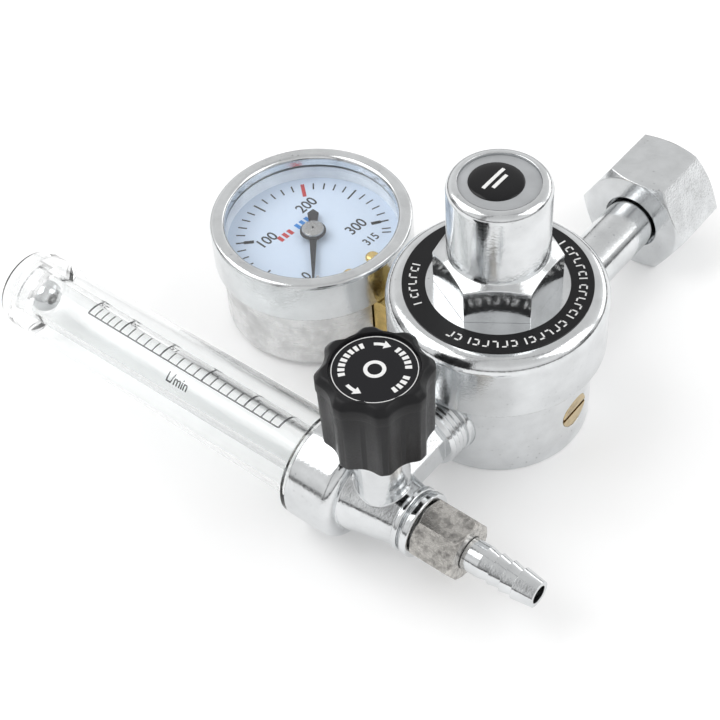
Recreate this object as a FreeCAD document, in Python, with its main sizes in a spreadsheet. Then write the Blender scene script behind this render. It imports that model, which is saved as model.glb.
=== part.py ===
"""Gas regulator with pressure gauge, float-tube flowmeter and hose outlet, lying on its back.

Frame, in mm: the origin is the centre of the body's round bottom face and +Z runs up the body.
+Y points to the cylinder inlet, -Y to the flowmeter, -X to the gauge and +X to the hose barb.
Most pieces are a closed outline of (radius, station) corners revolved about the piece's own axis.
"""
import FreeCAD
import Part

import math
import os

import Sketcher
from FreeCAD import Placement, Rotation, Vector

doc = FreeCAD.newDocument("GasRegulator")
sheet = doc.addObject("Spreadsheet::Sheet", "Sizes")

SIZES = {
    # fits and small edges that repeat
    "fit_gap": 0.05, "edge_break": 0.5, "corner_factor": 1.1547, "quarter_turn": 90,
    # regulator body
    "port_height": 16, "body_radius": 27.2, "body_height": 28, "rim_radius": 25.6, "rim_height": 32,
    "recess_radius": 19, "recess_floor": 26, "chamber_radius": 6, "chamber_floor": 8, "gas_radius": 2,
    "port_radius": 6.6, "port_bottom": 14.6, "gauge_port_radius": 5, "seat_plane": 25,
    "drill_offset": 12.6,
    # bonnet, label, spring cover and its cap
    "bonnet_radius": 30.9, "bonnet_top": 48.7, "bonnet_shoulder": 4.2, "bonnet_roof": 5,
    "bonnet_bore": 20.5, "ledge_height": 33.8, "label_inner": 19.8, "label_outer": 26.2,
    "label_sheet": 0.3, "cover_flats": 30.6, "cover_turn": 34.5, "hex_top": 61.6, "hex_bevel": 2.2,
    "cap_radius": 14, "cap_top": 85.3, "cap_round": 2.4, "spigot_foot": 42.5, "cover_bore": 10,
    "disc_radius": 10.9, "disc_top": 84.5, "disc_sheet": 1.5, "badge_radius": 7.4, "badge_dome": 0.8,
    "badge_shift": 1,
    # diaphragm, springs and main valve
    "diaphragm_sheet": 1, "plate_radius": 15, "plate_sheet": 2, "plate_boss": 5, "boss_height": 4,
    "stud_radius": 3, "lower_button": 6, "button_drop": 2.5, "main_coil": 7.5, "main_wire": 2,
    "main_pitch": 5.4, "upper_button": 9.7, "button_height": 66, "button_sheet": 2, "screw_foot": 68,
    "screw_height": 8, "slot_width": 2, "slot_depth": 3, "nozzle_foot": 19, "nozzle_flange": 9,
    "flange_sheet": 2.2, "nozzle_bore": 1.9, "poppet_radius": 4, "poppet_height": 3.4,
    "push_pin": 1.2, "poppet_coil": 3, "poppet_wire": 0.7, "poppet_pitch": 1.9, "poppet_tail": 1.6,
    # relief valve
    "relief_height": 13.2, "relief_radius": 5.3, "relief_bottom": 14.6, "relief_face": 27,
    "relief_plug": 4.5, "relief_wall": 1.8, "relief_poppet": 3, "relief_length": 3,
    "relief_coil": 2.4, "relief_wire": 0.6, "relief_pitch": 1.6, "relief_slot": 1.3,
    # inlet stem and nut
    "stem_radius": 8.1, "stem_bore": 2.6, "filter_radius": 4, "filter_length": 6, "inlet_flats": 32,
    "nut_start": 71.6, "nut_length": 22.6, "nut_wall": 5.4, "nut_rear_bore": 9, "inlet_thread": 10.2,
    "undercut_radius": 10.8, "thread_length": 8.8, "nut_bevel": 1.6, "stem_flange": 9.9,
    "flange_length": 3, "nose_radius": 6, "nose_length": 5, "seal_wire": 0.9,
    # pressure gauge
    "gauge_offset": 67.3, "case_radius": 28.2, "case_foot": 1.2, "case_wall": 1, "case_top": 27,
    "bezel_radius": 30.1, "bezel_foot": 22.6, "bezel_top": 36.7, "bezel_opening": 25.6,
    "bezel_round": 1.3, "glass_radius": 27.5, "glass_foot": 31.4, "glass_sheet": 2, "dial_foot": 26.2,
    "dial_sheet": 0.7, "dial_radius": 27.1, "dial_hole": 2.2, "dial_turn": -5, "spacer_inner": 25.8,
    "socket_width": 13, "socket_inside": 14, "socket_face": 26.2, "socket_head": 25,
    "head_width": 19.2, "head_foot": 9.6, "head_top": 22.4, "gauge_stud": 4.95, "seal_radius": 7.8,
    "pointer_foot": 28.3, "pointer_sheet": 0.7, "pointer_reach": 20.5, "pointer_tail": 9.5,
    "tail_half": 1.7, "waist_half": 1.1, "tip_half": 0.25, "hub_radius": 3, "hub_height": 1.5,
    "spindle_radius": 0.9, "spindle_foot": 10.2, "pinion_radius": 1.6, "pinion_height": 2,
    "tooth_gap": 0.15, "sector_radius": 11, "sector_foot": 13.5, "sector_sheet": 1.2,
    "sector_sweep": 50, "sector_lag": 45, "plate_low": 11, "plate_high": 18, "plate_brass": 1,
    "plate_back": 17, "plate_half": 6, "pillar_radius": 1.2, "pillar_reach": 9.5, "pillar_half": 4.4,
    "tube_middle": 21.5, "tube_thick": 1.8, "tube_tall": 7, "tube_skin": 0.4, "tube_sweep": 242,
    "stop_ring": 19, "stop_radius": 0.5, "stop_height": 1.8, "stop_angle": -41, "screw_ring": 19.8,
    "screw_half": 4.8, "screw_head": 2.2, "screw_shank": 1.2, "screw_dome": 1.3, "pointer_rest": 45,
    "tube_cap": 2, "skin_round": 0.9,
    # outlet fitting and flowmeter block
    "flow_offset": 58, "collar_radius": 10.6, "collar_ring": 2.4, "thread_crest": 10.1,
    "thread_root": 9.5, "thread_pitch": 1.6, "collar_end": 34.4, "arm_half": 7.2, "arm_flat": 4,
    "arm_end": 49, "arm_bore": 3, "lip_offset": 17, "cup_radius": 16, "cup_length": 14.5,
    "cup_round": 3, "cup_depth": 8.6, "barrel_radius": 12, "barrel_small": 8.8, "barrel_end": 30.6,
    "ring_radius": 9.5, "ring_length": 1.8, "groove_radius": 7.8, "groove_length": 1,
    "tail_foot": 35.7, "tail_radius": 6.4, "tail_end": 42.5, "bore_start": 18.6, "tube_radius": 12.8,
    "tube_wall": 1.8, "tube_start": 8.6, "tube_length": 122.8, "tube_collar": 15.8,
    "collar_sheet": 1.8, "end_wall": 3, "tube_round": 2.4, "socket_radius": 7.05,
    "socket_floor": 13.5, "inner_radius": 7, "seat_radius": 4.1, "inner_small": 4.8,
    "inner_large": 5.6, "inner_start": 3.6, "inner_length": 123.2, "ball_radius": 4.5,
    "ball_offset": 122, "plug_radius": 10.9, "plug_length": 7, "seat_offset": 12, "seat_length": 3,
    "o_ring_wire": 0.8, "o_ring_groove": 5.05, "tube_tip": 12.1,
    # needle valve and knob
    "neck_radius": 7.5, "neck_top": 51, "spindle_thread": 4.4, "thread_foot": 27, "thread_top": 45,
    "shaft_radius": 2.9, "needle_foot": 20, "needle_top": 23, "shaft_top": 64, "gland_flats": 13,
    "gland_top": 56, "gland_foot": 48.3, "knob_radius": 14.9, "knob_foot": 45, "knob_top": 70.2,
    "knob_bevel": 2, "knob_hollow": 9.2, "knob_web": 61, "well_radius": 4, "label_radius": 11.3,
    "label_foot": 68.3, "label_disc": 1, "flute_radius": 8, "flute_ring": 21.2,
    "knob_screw_head": 3.4, "knob_screw_height": 2.4, "knob_screw_shank": 1.5, "knob_screw_foot": 58,
    "valve_shift": 4.5,
    # outlet nut and hose barb
    "outlet_flats": 16, "outlet_start": 19.1, "outlet_length": 13.5, "outlet_bevel": 1,
    "outlet_wall": 4, "barb_start": 26.1, "barb_flange": 6.1, "flange_depth": 2.3, "barb_radius": 4.6,
    "barb_root": 3.8, "shank_end": 37.8, "barb_pitch": 3.6, "barb_bore": 2.6, "gasket_sheet": 0.6,
    "barb_nose": 5.9, "barb_neck": 4.2, "shank_start": 32.8,
}
LOBES = 8
BARBS = 4
COLLAR_THREADS = 4

for row, (alias, value) in enumerate(SIZES.items(), start=1):
    sheet.set(f"A{row}", alias)
    sheet.set(f"B{row}", str(value))
    sheet.setAlias(f"B{row}", alias)
doc.recompute()

NODES = []


# ---------------------------------------------------------------- helpers
def formula(text):
    """An expression that reads the sheet; in the text, words and signs stand apart."""
    return " ".join("Sizes." + word if word[0].isalpha() else word for word in text.split())


def number(text):
    """The present value of a formula."""
    return float(sheet.evalExpression(formula(text)))


def bind(thing, path, text):
    """Drive one property of an object from the sheet."""
    thing.setExpression(path, formula(text))


def hold(sketch, spot, point, corner):
    """Keep a point on an axis where its formula is 0, and at a driven distance from it elsewhere."""
    for kind, text, axis in (("DistanceX", corner[0], -2), ("DistanceY", corner[1], -1)):
        if text == "0":
            sketch.addConstraint(Sketcher.Constraint("PointOnObject", spot, point, axis))
            continue
        index = sketch.addConstraint(Sketcher.Constraint(kind, -1, 1, spot, point, number(text)))
        bind(sketch, f"Constraints[{index}]", text)


def round_corner(sketch, line_in, line_out, corner, before, here, after):
    """Round the corner between two drawn lines with a tangent arc; returns the held corner point."""
    radius = number(corner[2])
    back = (before - here).normalize()
    ahead = (after - here).normalize()
    half = back.getAngle(ahead) / 2
    centre = here + (back + ahead).normalize() * (radius / math.sin(half))
    touch_in = here + back * (radius / math.tan(half))
    touch_out = here + ahead * (radius / math.tan(half))
    turns_left = back.x * ahead.y - back.y * ahead.x < 0
    first, last = (touch_in, touch_out) if turns_left else (touch_out, touch_in)
    angles = [math.atan2(p.y - centre.y, p.x - centre.x) for p in (first, last)]
    circle = Part.Circle(centre, Vector(0, 0, 1), radius)
    arc = sketch.addGeometry(Part.ArcOfCircle(circle, angles[0], angles[1]), False)
    sketch.addConstraint(Sketcher.Constraint("Tangent", line_in, 2, arc, 1 if turns_left else 2))
    sketch.addConstraint(Sketcher.Constraint("Tangent", line_out, 1, arc, 2 if turns_left else 1))
    index = sketch.addConstraint(Sketcher.Constraint("Radius", arc, radius))
    bind(sketch, f"Constraints[{index}]", corner[2])
    spot = sketch.addGeometry(Part.Point(here), True)
    sketch.addConstraint(Sketcher.Constraint("PointOnObject", spot, 1, line_in))
    sketch.addConstraint(Sketcher.Constraint("PointOnObject", spot, 1, line_out))
    return spot


def tangent_length(corners, points, i):
    """How far a corner's rounding reaches along each of its two edges."""
    if len(corners[i]) < 3:
        return 0
    back = points[i - 1] - points[i]
    ahead = points[(i + 1) % len(points)] - points[i]
    return number(corners[i][2]) / math.tan(back.getAngle(ahead) / 2)


def draw_outline(sketch, corners):
    """A closed outline of (across, along) or (across, along, rounding) corners."""
    points = [Vector(number(corner[0]), number(corner[1]), 0) for corner in corners]
    count = len(points)
    reach = [tangent_length(corners, points, i) for i in range(count)]
    lines = []
    for i in range(count):
        j = (i + 1) % count
        step = (points[j] - points[i]).normalize()
        line = Part.LineSegment(points[i] + step * reach[i], points[j] - step * reach[j])
        lines.append(sketch.addGeometry(line, False))
    for i, corner in enumerate(corners):
        line_in, line_out = lines[i - 1], lines[i]
        if len(corner) == 3:
            around = points[i - 1], points[i], points[(i + 1) % count]
            hold(sketch, round_corner(sketch, line_in, line_out, corner, *around), 1, corner)
        else:
            sketch.addConstraint(Sketcher.Constraint("Coincident", line_in, 2, line_out, 1))
            hold(sketch, line_out, 1, corner)


def sketch_in(body, role):
    """An empty sketch on one of the body's own origin planes."""
    sketch = body.newObject("Sketcher::SketchObject", body.Name + "_outline")
    plane = next(item for item in body.Origin.OriginFeatures if item.Role == role)
    sketch.AttachmentSupport = [(plane, "")]
    sketch.MapMode = "FlatFace"
    return sketch


def turned(name, corners, sweep="360"):
    """A body revolved about its own Z axis."""
    body = doc.addObject("PartDesign::Body", name)
    sketch = sketch_in(body, "XZ_Plane")
    draw_outline(sketch, corners)
    turn = body.newObject("PartDesign::Revolution", name + "_turn")
    turn.Profile = sketch
    turn.ReferenceAxis = (sketch, ["V_Axis"])
    bind(turn, "Angle", sweep)
    body.Tip = turn
    return body


def padded(name, corners, low, thickness):
    """A body of even thickness that stands on the height low of its own frame."""
    body = doc.addObject("PartDesign::Body", name)
    sketch = sketch_in(body, "XY_Plane")
    draw_outline(sketch, corners)
    bind(sketch, "AttachmentOffset.Base.z", low)
    pad = body.newObject("PartDesign::Pad", name + "_pad")
    pad.Profile = sketch
    bind(pad, "Length", thickness)
    body.Tip = pad
    return body


def coil(name, radius, wire, pitch, low, high):
    """A round-wire spring that just fits between the heights low and high of its own frame."""
    body = doc.addObject("PartDesign::Body", name)
    sketch = sketch_in(body, "XZ_Plane")
    middle = f"{low} + fit_gap + {wire} / 2"
    circle = Part.Circle(Vector(number(radius), number(middle), 0), Vector(0, 0, 1), number(wire) / 2)
    ring = sketch.addGeometry(circle, False)
    hold(sketch, ring, 3, (radius, middle))
    index = sketch.addConstraint(Sketcher.Constraint("Diameter", ring, number(wire)))
    bind(sketch, f"Constraints[{index}]", wire)
    helix = body.newObject("PartDesign::AdditiveHelix", name + "_helix")
    helix.Profile = sketch
    helix.ReferenceAxis = (sketch, ["V_Axis"])
    bind(helix, "Pitch", pitch)
    bind(helix, "Height", f"{high} - ( {low} ) - {wire} - fit_gap * 2")
    body.Tip = helix
    return body


TURNS = {
    "+Z": Rotation(),
    "+X": Rotation(Vector(0, 1, 0), 90),
    "-X": Rotation(Vector(0, 1, 0), -90),
    "+Y": Rotation(Vector(1, 0, 0), -90),
    "-Y": Rotation(Vector(1, 0, 0), 90),
}


def place(thing, x="0", y="0", z="0", along="+Z", start="0", twist="0"):
    """Point a piece's own Z axis along a direction, start it that far along, and drive its position."""
    turn = TURNS[along] * Rotation(Vector(0, 0, 1), number(twist))
    thing.Placement = Placement(Vector(), turn)
    spots = {"X": x, "Y": y, "Z": z}
    sign, letter = along
    if start != "0":
        spots[letter] = f"{spots[letter]} {sign} ( {start} )"
    for axis, text in spots.items():
        if text != "0":
            bind(thing, "Placement.Base." + axis.lower(), text)
    return thing


def rod(name, radius, low, high, **where):
    """A plain cylinder from low to high along its direction."""
    cylinder = doc.addObject("Part::Cylinder", name)
    bind(cylinder, "Radius", radius)
    bind(cylinder, "Height", f"{high} - ( {low} )")
    return place(cylinder, start=low, **where)


def box(name, x, y, z):
    """A box between two (low, high) formulas on each axis."""
    brick = doc.addObject("Part::Box", name)
    for axis, side, (low, high) in (("x", "Length", x), ("y", "Width", y), ("z", "Height", z)):
        bind(brick, side, f"{high} - ( {low} )")
        bind(brick, "Placement.Base." + axis, low)
    return brick


def hexed(name, flats, low, high, corners, twist="0"):
    """A six-sided piece: a prism across its flats, kept only where a turned outline has metal."""
    prism = doc.addObject("Part::Prism", name + "_prism")
    prism.Polygon = 6
    bind(prism, "Circumradius", f"{flats} * corner_factor / 2")
    bind(prism, "Height", f"{high} - ( {low} )")
    place(prism, start=low, twist=twist)
    shared = doc.addObject("Part::MultiCommon", name)
    shared.Shapes = [prism, turned(name + "_turned", corners)]
    return shared


def fused(name, *parts):
    joined = doc.addObject("Part::MultiFuse", name)
    joined.Shapes = list(parts)
    return joined


def cut(name, base, *tools):
    result = doc.addObject("Part::Cut", name)
    result.Base = base
    result.Tool = tools[0] if len(tools) == 1 else fused(name + "_tools", *tools)
    return result


def grouped(name, *parts):
    """Pieces that are placed one by one and then turned together as one node."""
    group = doc.addObject("Part::Compound", name)
    group.Links = list(parts)
    return group


def node(label, thing):
    """Record a finished piece under its node name."""
    thing.Label = label
    NODES.append(thing)


# ---------------------------------------------------------------- regulator body
def build_body():
    shell = turned("BodyShell", [
        ("0", "0"),
        ("body_radius", "0", "edge_break"),
        ("body_radius", "body_height"),
        ("rim_radius", "body_height"),
        ("rim_radius", "rim_height"),
        ("recess_radius", "rim_height"),
        ("recess_radius", "recess_floor"),
        ("chamber_radius", "recess_floor"),
        ("chamber_radius", "chamber_floor"),
        ("0", "chamber_floor"),
    ])
    tools = []
    ports = (
        ("Inlet", "+Y", "port_radius", "stem_radius + fit_gap", "chamber_radius - gas_radius"),
        ("Outlet", "-Y", "port_radius", "collar_radius + fit_gap", "drill_offset - gas_radius"),
        ("Gauge", "-X", "gauge_port_radius", "seal_radius + fit_gap", "chamber_radius - gas_radius"),
    )
    for name, along, radius, seat_radius, inner in ports:
        where = {"z": "port_height", "along": along}
        tools.append(rod(name + "Way", "gas_radius", inner, "port_bottom", **where))
        tools.append(rod(name + "Port", radius, "port_bottom", "seat_plane", **where))
        tools.append(rod(name + "Seat", seat_radius, "seat_plane", "bonnet_radius", **where))
    relief = {"z": "relief_height", "along": "+X"}
    tools.append(rod("ReliefWay", "gas_radius", "drill_offset - gas_radius", "relief_bottom", **relief))
    tools.append(rod("ReliefPort", "relief_radius + fit_gap", "relief_bottom", "bonnet_radius", **relief))
    drill = "gas_radius * 4 / 5"
    tools.append(rod("OutletDrilling", drill, "port_height", "rim_height", y="0 - drill_offset"))
    tools.append(rod("ReliefDrilling", drill, "relief_height", "rim_height", x="drill_offset"))
    node("regulator_body", cut("Body", shell, *tools))


def build_bonnet():
    node("bonnet_ring", turned("Bonnet", [
        ("rim_radius + fit_gap", "body_height"),
        ("bonnet_radius", "body_height", "edge_break"),
        ("bonnet_radius", "bonnet_top", "bonnet_shoulder"),
        ("cap_radius + fit_gap", "bonnet_top"),
        ("cap_radius + fit_gap", "bonnet_top - bonnet_roof"),
        ("bonnet_bore", "bonnet_top - bonnet_roof"),
        ("bonnet_bore", "ledge_height"),
        ("rim_radius + fit_gap", "ledge_height"),
    ]))
    node("label_ring", place(turned("Label", [
        ("label_inner", "0"),
        ("label_outer", "0"),
        ("label_outer", "label_sheet"),
        ("label_inner", "label_sheet"),
    ]), z="bonnet_top"))


def build_cover():
    hexagon_corner = "cover_flats * corner_factor / 2"
    hexagon = hexed("CoverHexagon", "cover_flats", "bonnet_top", "hex_top", [
        ("cover_bore", "bonnet_top"),
        (hexagon_corner, "bonnet_top"),
        (hexagon_corner, "hex_top - hex_bevel"),
        ("cap_radius", "hex_top"),
        ("cover_bore", "hex_top"),
    ], twist="cover_turn")
    cap = turned("CoverCap", [
        ("cover_bore", "spigot_foot"),
        ("cap_radius", "spigot_foot"),
        ("cap_radius", "cap_top", "cap_round"),
        ("disc_radius + fit_gap", "cap_top"),
        ("disc_radius + fit_gap", "disc_top - disc_sheet"),
        ("cover_bore", "disc_top - disc_sheet"),
    ])
    node("spring_cover", fused("Cover", hexagon, cap))
    node("cap_disc", place(turned("Disc", [
        ("0", "0"),
        ("disc_radius", "0"),
        ("disc_radius", "disc_sheet"),
        ("0", "disc_sheet"),
    ]), z="disc_top - disc_sheet"))
    node("cap_badge", place(turned("Badge", [
        ("0", "0"),
        ("badge_radius", "0"),
        ("badge_radius", "badge_dome / 2"),
        ("badge_radius * 3 / 4", "badge_dome"),
        ("0", "badge_dome"),
    ]), x="0 - badge_shift", z="disc_top"))


# ---------------------------------------------------------------- inside the body and the bonnet
def build_pressure_works():
    node("diaphragm", place(turned("Diaphragm", [
        ("stud_radius + fit_gap", "0"),
        ("rim_radius", "0"),
        ("rim_radius", "diaphragm_sheet"),
        ("stud_radius + fit_gap", "diaphragm_sheet"),
    ]), z="rim_height"))
    node("slip_ring", place(turned("SlipRing", [
        ("bonnet_bore", "0"),
        ("rim_radius", "0"),
        ("rim_radius", "ledge_height - rim_height - diaphragm_sheet"),
        ("bonnet_bore", "ledge_height - rim_height - diaphragm_sheet"),
    ]), z="rim_height + diaphragm_sheet"))
    node("diaphragm_plate", place(turned("DiaphragmPlate", [
        ("0", "0 - button_drop"),
        ("lower_button", "0 - button_drop"),
        ("lower_button", "0"),
        ("stud_radius", "0"),
        ("stud_radius", "diaphragm_sheet"),
        ("plate_radius", "diaphragm_sheet"),
        ("plate_radius", "diaphragm_sheet + plate_sheet"),
        ("plate_boss", "diaphragm_sheet + plate_sheet"),
        ("plate_boss", "diaphragm_sheet + boss_height"),
        ("0", "diaphragm_sheet + boss_height"),
    ]), z="rim_height"))
    plate_top = "rim_height + diaphragm_sheet + plate_sheet"
    node("main_spring", coil("MainSpring", "main_coil", "main_wire", "main_pitch", plate_top, "button_height"))
    node("spring_button", place(turned("SpringButton", [
        ("0", "0 - boss_height"),
        ("plate_boss", "0 - boss_height"),
        ("plate_boss", "0"),
        ("upper_button", "0"),
        ("upper_button", "button_sheet"),
        ("0", "button_sheet"),
    ]), z="button_height"))
    screw = turned("ScrewBlank", [
        ("0", "screw_foot"),
        ("cover_bore - fit_gap", "screw_foot"),
        ("cover_bore - fit_gap", "screw_foot + screw_height"),
        ("0", "screw_foot + screw_height"),
    ])
    slot_foot = "screw_foot + screw_height - slot_depth"
    slot = box("ScrewSlot", ("0 - cap_radius", "cap_radius"), ("0 - slot_width / 2", "slot_width / 2"),
               (slot_foot, "cap_top"))
    node("adjusting_screw", cut("AdjustingScrew", screw, slot))


def build_main_valve():
    node("valve_nozzle", place(turned("Nozzle", [
        ("nozzle_bore", "0"),
        ("chamber_radius - fit_gap", "0"),
        ("chamber_radius - fit_gap", "recess_floor - nozzle_foot"),
        ("nozzle_flange", "recess_floor - nozzle_foot"),
        ("nozzle_flange", "recess_floor - nozzle_foot + flange_sheet", "edge_break"),
        ("nozzle_bore", "recess_floor - nozzle_foot + flange_sheet"),
    ]), z="nozzle_foot"))
    node("valve_poppet", place(turned("Poppet", [
        ("0", "0 - poppet_height - stud_radius"),
        ("poppet_tail", "0 - poppet_height - stud_radius"),
        ("poppet_tail", "0 - poppet_height"),
        ("poppet_radius", "0 - poppet_height"),
        ("poppet_radius", "0"),
        ("push_pin", "0"),
        ("push_pin", "rim_height - button_drop - nozzle_foot"),
        ("0", "rim_height - button_drop - nozzle_foot"),
    ]), z="nozzle_foot"))
    node("poppet_spring", coil("PoppetSpring", "poppet_coil", "poppet_wire", "poppet_pitch",
                               "chamber_floor", "nozzle_foot - poppet_height"))


def build_relief_valve():
    where = {"z": "relief_height", "along": "+X"}
    plug_foot = "relief_face - relief_plug"
    blank = turned("ReliefBlank", [
        ("0", plug_foot + " + relief_wall"),
        ("relief_poppet + fit_gap", plug_foot + " + relief_wall"),
        ("relief_poppet + fit_gap", plug_foot),
        ("relief_radius", plug_foot),
        ("relief_radius", "relief_face", "edge_break / 2"),
        ("0", "relief_face"),
    ])
    slot = box("ReliefSlot", ("0 - bonnet_radius", "bonnet_radius"),
               ("0 - relief_slot / 2", "relief_slot / 2"), ("relief_face - relief_slot", "bonnet_radius"))
    node("relief_plug", place(cut("ReliefPlug", blank, slot), twist="quarter_turn", **where))
    node("relief_poppet", place(turned("ReliefPoppet", [
        ("0", "relief_bottom"),
        ("relief_poppet", "relief_bottom"),
        ("relief_poppet", "relief_bottom + relief_length"),
        ("0", "relief_bottom + relief_length"),
    ]), **where))
    node("relief_spring", place(coil("ReliefSpring", "relief_coil", "relief_wire", "relief_pitch",
                                     "relief_bottom + relief_length", plug_foot + " + relief_wall"), **where))


# ---------------------------------------------------------------- inlet
def build_inlet():
    where = {"z": "port_height", "along": "+Y"}
    flange_foot = "nut_start + nut_wall + fit_gap * 4"
    nose = flange_foot + " + flange_length"
    node("inlet_stem", place(turned("Stem", [
        ("filter_radius", "port_bottom"),
        ("port_radius - fit_gap", "port_bottom"),
        ("port_radius - fit_gap", "seat_plane"),
        ("stem_radius", "seat_plane"),
        ("stem_radius", flange_foot),
        ("stem_flange", flange_foot),
        ("stem_flange", nose, "edge_break"),
        ("nose_radius", nose),
        ("nose_radius", nose + " + nose_length", "edge_break * 2"),
        ("stem_bore", nose + " + nose_length"),
        ("stem_bore", "port_bottom + filter_length"),
        ("filter_radius", "port_bottom + filter_length"),
    ]), **where))
    node("inlet_filter", place(turned("Filter", [
        ("0", "port_bottom"),
        ("filter_radius", "port_bottom"),
        ("filter_radius", "port_bottom + filter_length"),
        ("0", "port_bottom + filter_length"),
    ]), **where))
    node("inlet_seal", place(turned("InletSeal", [
        ("nose_radius", nose),
        ("nose_radius + seal_wire * 2", nose, "seal_wire / 2"),
        ("nose_radius + seal_wire * 2", nose + " + seal_wire * 2", "seal_wire"),
        ("nose_radius", nose + " + seal_wire * 2"),
    ]), **where))
    corner = "inlet_flats * corner_factor / 2"
    node("inlet_nut", place(hexed("InletNut", "inlet_flats", "0", "nut_length", [
        ("nut_rear_bore", "0"),
        ("inlet_flats / 2", "0"),
        (corner, "nut_bevel"),
        (corner, "nut_length - nut_bevel"),
        ("inlet_flats / 2", "nut_length"),
        ("inlet_thread", "nut_length"),
        ("inlet_thread", "nut_length - thread_length"),
        ("undercut_radius", "nut_length - thread_length"),
        ("undercut_radius", "nut_wall"),
        ("nut_rear_bore", "nut_wall"),
    ]), y="nut_start", **where))


# ---------------------------------------------------------------- pressure gauge
def at_gauge(thing, **where):
    """Stand a piece on the gauge's own axis."""
    return place(thing, x="0 - gauge_offset", **where)


def build_gauge_case():
    case = turned("CaseShell", [
        ("0", "case_foot"),
        ("case_radius", "case_foot", "case_wall * 2"),
        ("case_radius", "case_top"),
        ("case_radius - case_wall", "case_top"),
        ("case_radius - case_wall", "case_foot + case_wall"),
        ("0", "case_foot + case_wall"),
    ])
    half = "socket_width / 2 + edge_break"
    opening = box("CaseOpening", ("socket_inside", "gauge_offset"), (f"0 - ( {half} )", half),
                  (f"port_height - ( {half} )", f"port_height + {half}"))
    node("gauge_case", at_gauge(cut("Case", case, opening)))
    node("gauge_bezel", at_gauge(turned("Bezel", [
        ("case_radius + fit_gap", "bezel_foot"),
        ("bezel_radius", "bezel_foot", "edge_break"),
        ("bezel_radius", "bezel_top", "bezel_round"),
        ("bezel_opening", "bezel_top", "bezel_round"),
        ("bezel_opening", "glass_foot + glass_sheet"),
        ("glass_radius + fit_gap", "glass_foot + glass_sheet"),
        ("glass_radius + fit_gap", "case_top + fit_gap"),
        ("case_radius + fit_gap", "case_top + fit_gap"),
    ])))
    node("gauge_glass", at_gauge(turned("Glass", [
        ("0", "0"),
        ("glass_radius", "0"),
        ("glass_radius", "glass_sheet"),
        ("0", "glass_sheet"),
    ]), z="glass_foot"))
    node("dial_spacer", at_gauge(turned("Spacer", [
        ("spacer_inner", "dial_foot + dial_sheet"),
        ("dial_radius", "dial_foot + dial_sheet"),
        ("dial_radius", "glass_foot"),
        ("spacer_inner", "glass_foot"),
    ])))


def build_dial():
    blank = turned("DialBlank", [
        ("dial_hole", "dial_foot"),
        ("dial_radius", "dial_foot"),
        ("dial_radius", "dial_foot + dial_sheet"),
        ("dial_hole", "dial_foot + dial_sheet"),
    ])
    sides = (("Left", "screw_half"), ("Right", "0 - screw_half"))
    holes = []
    screws = []
    for side, y in sides:
        holes.append(rod("DialHole" + side, "screw_shank + fit_gap", "head_foot", "glass_foot",
                         x="screw_ring", y=y))
        screws.append(place(turned("DialScrew" + side, [
            ("0", "head_top"),
            ("screw_shank", "head_top"),
            ("screw_shank", "dial_foot + dial_sheet"),
            ("screw_head", "dial_foot + dial_sheet"),
            ("screw_head", "dial_foot + dial_sheet + screw_dome", "screw_dome * skin_round"),
            ("0", "dial_foot + dial_sheet + screw_dome"),
        ]), x="screw_ring", y=y))
    node("gauge_dial", at_gauge(cut("Dial", blank, *holes), twist="dial_turn"))
    node("dial_screws", at_gauge(grouped("DialScrews", *screws), twist="dial_turn"))
    stop = rod("StopPeg", "stop_radius", "dial_foot + dial_sheet", "dial_foot + dial_sheet + stop_height",
               x="stop_ring")
    node("zero_stop", at_gauge(grouped("ZeroStop", stop), twist="stop_angle + dial_turn"))


def build_pointer():
    blade = padded("PointerBlade", [
        ("pointer_reach", "0 - tip_half"),
        ("pointer_reach", "tip_half"),
        ("hub_radius", "waist_half"),
        ("0 - hub_radius", "waist_half"),
        ("tail_half - pointer_tail", "tail_half"),
        ("0 - pointer_tail", "0"),
        ("tail_half - pointer_tail", "0 - tail_half"),
        ("0 - hub_radius", "0 - waist_half"),
        ("hub_radius", "0 - waist_half"),
    ], "pointer_foot", "pointer_sheet")
    hub = turned("PointerHub", [
        ("0", "spindle_foot"),
        ("spindle_radius", "spindle_foot"),
        ("spindle_radius", "sector_foot - tooth_gap"),
        ("pinion_radius - tooth_gap", "sector_foot - tooth_gap"),
        ("pinion_radius - tooth_gap", "sector_foot + pinion_height"),
        ("spindle_radius", "sector_foot + pinion_height"),
        ("spindle_radius", "pointer_foot"),
        ("hub_radius", "pointer_foot"),
        ("hub_radius", "pointer_foot + hub_height", "edge_break"),
        ("0", "pointer_foot + hub_height"),
    ])
    node("gauge_pointer", at_gauge(fused("Pointer", blade, hub), twist="dial_turn - pointer_rest"))


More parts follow.
